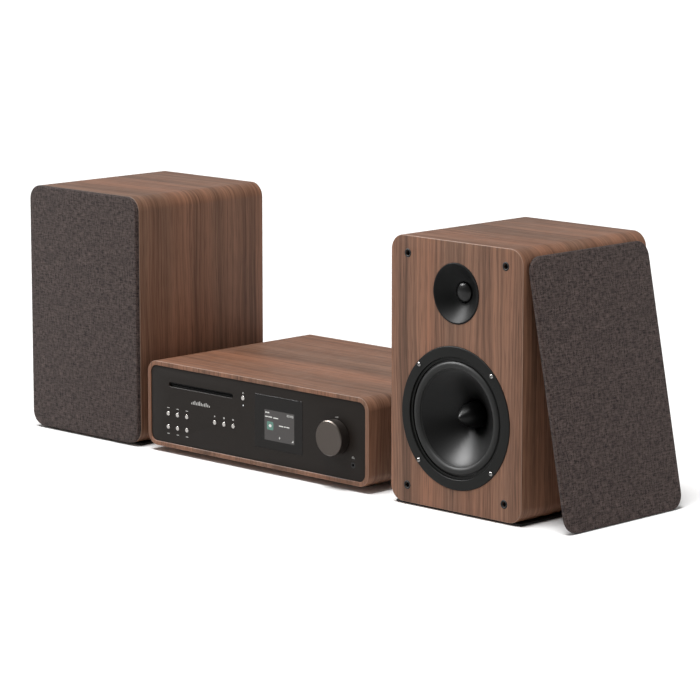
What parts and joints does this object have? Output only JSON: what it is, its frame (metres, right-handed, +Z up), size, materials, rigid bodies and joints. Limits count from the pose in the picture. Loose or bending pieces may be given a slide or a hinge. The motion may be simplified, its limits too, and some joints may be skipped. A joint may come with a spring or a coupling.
{
  "type": "mini hifi system",
  "caption": "Compact stereo: wood-cased disc receiver with screen, buttons and knob between two bookshelf speakers, one grille fitted and one leaning.",
  "frame": {"origin": "on the floor, under the middle of the whole set", "axes": "+X to the right along the fronts, +Y from the fronts to the backs, +Z up"},
  "size_m": [0.9826, 0.317, 0.339],
  "materials": {
    "walnut": "open-grain walnut veneer, satin lacquer",
    "anthracite_paint": "fine satin paint",
    "zinc_steel": "plain zinc-plated sheet",
    "black_rubber": "matt moulded rubber",
    "gloss_window": "polished black",
    "circuit_board": "solder mask",
    "satin_knob": "turned, satin anodised, bright chamfer",
    "silver_button": "satin silver",
    "gloss_cone": "polished black",
    "satin_flange": "fine satin paint",
    "satin_waveguide": "satin moulded",
    "magnet_iron": "plain ferrite and steel",
    "grille_cloth": "woven melange cloth",
    "grille_board": "black stained fibreboard",
    "light_pipe": "clear moulded light pipe",
    "black_plastic": "fine moulded texture",
    "chrome": "bright plated screws",
    "white_print": "screen-printed marks",
    "screen_image": "lit display behind the window"
  },
  "bodies": {
    "root": {"case_sleeve": "walnut", "chassis": "zinc_steel", "disc_loader": "black_plastic", "display_module": "circuit_board", "display_window": "gloss_window", "encoder_body": "zinc_steel", "fascia": "anthracite_paint", "foot_back_left": "black_rubber", "foot_back_right": "black_rubber", "foot_front_left": "black_rubber", "foot_front_right": "black_rubber", "headphone_jack": "black_plastic", "left_baffle": "walnut", "left_base_pad": "black_rubber", "left_cabinet": "walnut", "left_crossover": "circuit_board", "left_port_tube": "black_plastic", "left_terminal_cup": "black_plastic", "left_tweeter": "satin_waveguide", "left_woofer_basket": "satin_flange", "left_woofer_motor": "magnet_iron", "left_woofer_surround": "black_rubber", "main_board": "circuit_board", "mains_inlet": "black_plastic", "power_supply": "circuit_board", "rear_sockets": "black_plastic", "right_baffle": "walnut", "right_base_pad": "black_rubber", "right_cabinet": "walnut", "right_crossover": "circuit_board", "right_port_tube": "black_plastic", "right_terminal_cup": "black_plastic", "right_tweeter": "satin_waveguide", "right_woofer_basket": "satin_flange", "right_woofer_motor": "magnet_iron", "right_woofer_surround": "black_rubber", "status_light": "light_pipe"},
    "eject_button": {"eject_button": "silver_button"},
    "preset_button_1": {"preset_button_1": "silver_button"},
    "preset_button_2": {"preset_button_2": "silver_button"},
    "preset_button_3": {"preset_button_3": "silver_button"},
    "preset_button_4": {"preset_button_4": "silver_button"},
    "preset_button_5": {"preset_button_5": "silver_button"},
    "preset_button_6": {"preset_button_6": "silver_button"},
    "transport_button_1": {"transport_button_1": "silver_button"},
    "transport_button_2": {"transport_button_2": "silver_button"},
    "transport_button_3": {"transport_button_3": "silver_button"},
    "encoder_rotor": {"encoder_rotor": "zinc_steel"},
    "volume_knob": {"volume_knob": "satin_knob"},
    "feed_roller": {"feed_roller": "black_rubber"},
    "disc_turntable": {"disc_turntable": "black_plastic"},
    "laser_sled": {"laser_sled": "black_plastic"},
    "left_cone": {"left_woofer_cone": "gloss_cone"},
    "left_dome": {"left_tweeter_dome": "gloss_cone"},
    "left_grille": {"left_grille_frame": "grille_board", "left_grille_cloth": "grille_cloth"},
    "right_cone": {"right_woofer_cone": "gloss_cone"},
    "right_dome": {"right_tweeter_dome": "gloss_cone"},
    "right_grille": {"right_grille_frame": "grille_board", "right_grille_cloth": "grille_cloth"}
  },
  "joints": [
    {"name": "eject_button_press", "type": "slide", "parent": "root", "child": "eject_button", "axis": [0, 1, 0], "range_m": [0, 0.0006], "stiffness_N_per_m": 400},
    {"name": "preset_button_1_press", "type": "slide", "parent": "root", "child": "preset_button_1", "axis": [0, 1, 0], "range_m": [0, 0.0006], "stiffness_N_per_m": 400},
    {"name": "preset_button_2_press", "type": "slide", "parent": "root", "child": "preset_button_2", "axis": [0, 1, 0], "range_m": [0, 0.0006], "stiffness_N_per_m": 400},
    {"name": "preset_button_3_press", "type": "slide", "parent": "root", "child": "preset_button_3", "axis": [0, 1, 0], "range_m": [0, 0.0006], "stiffness_N_per_m": 400},
    {"name": "preset_button_4_press", "type": "slide", "parent": "root", "child": "preset_button_4", "axis": [0, 1, 0], "range_m": [0, 0.0006], "stiffness_N_per_m": 400},
    {"name": "preset_button_5_press", "type": "slide", "parent": "root", "child": "preset_button_5", "axis": [0, 1, 0], "range_m": [0, 0.0006], "stiffness_N_per_m": 400},
    {"name": "preset_button_6_press", "type": "slide", "parent": "root", "child": "preset_button_6", "axis": [0, 1, 0], "range_m": [0, 0.0006], "stiffness_N_per_m": 400},
    {"name": "transport_button_1_press", "type": "slide", "parent": "root", "child": "transport_button_1", "axis": [0, 1, 0], "range_m": [0, 0.0006], "stiffness_N_per_m": 400},
    {"name": "transport_button_2_press", "type": "slide", "parent": "root", "child": "transport_button_2", "axis": [0, 1, 0], "range_m": [0, 0.0006], "stiffness_N_per_m": 400},
    {"name": "transport_button_3_press", "type": "slide", "parent": "root", "child": "transport_button_3", "axis": [0, 1, 0], "range_m": [0, 0.0006], "stiffness_N_per_m": 400},
    {"name": "volume_spin", "type": "hinge", "parent": "root", "child": "encoder_rotor", "pos_m": [0.10118, -0.1435, 0.067], "axis": [0, 1, 0], "continuous": true},
    {"name": "volume_press", "type": "slide", "parent": "encoder_rotor", "child": "volume_knob", "axis": [0, 1, 0], "range_m": [0, 0.0007], "stiffness_N_per_m": 800},
    {"name": "feed_roller_spin", "type": "hinge", "parent": "root", "child": "feed_roller", "pos_m": [-0.15282, -0.1265, 0.089], "axis": [1, 0, 0], "continuous": true},
    {"name": "disc_turntable_spin", "type": "hinge", "parent": "root", "child": "disc_turntable", "pos_m": [-0.15282, -0.0655, 0.09], "axis": [0, 0, 1], "continuous": true},
    {"name": "laser_sled_slide", "type": "slide", "parent": "root", "child": "laser_sled", "axis": [0, 1, 0], "range_m": [0, 0.032]},
    {"name": "left_cone_stroke", "type": "slide", "parent": "root", "child": "left_cone", "axis": [0, 1, 0], "range_m": [-0.0025, 0.0025], "stiffness_N_per_m": 1500, "deforming": ["left_woofer_surround"]},
    {"name": "left_dome_stroke", "type": "slide", "parent": "root", "child": "left_dome", "axis": [0, 1, 0], "range_m": [-0.0003, 0.0003], "stiffness_N_per_m": 3000},
    {"name": "right_cone_stroke", "type": "slide", "parent": "root", "child": "right_cone", "axis": [0, 1, 0], "range_m": [-0.0025, 0.0025], "stiffness_N_per_m": 1500, "deforming": ["right_woofer_surround"]},
    {"name": "right_dome_stroke", "type": "slide", "parent": "root", "child": "right_dome", "axis": [0, 1, 0], "range_m": [-0.0003, 0.0003], "stiffness_N_per_m": 3000},
    {"name": "left_grille_pull", "type": "slide", "parent": "root", "child": "left_grille", "axis": [0, -1, 0], "range_m": [0, 0.04]},
    {"name": "right_grille_away", "type": "slide", "parent": "root", "child": "right_grille", "axis": [1, 0, 0], "range_m": [0, 0.06]}
  ]
}
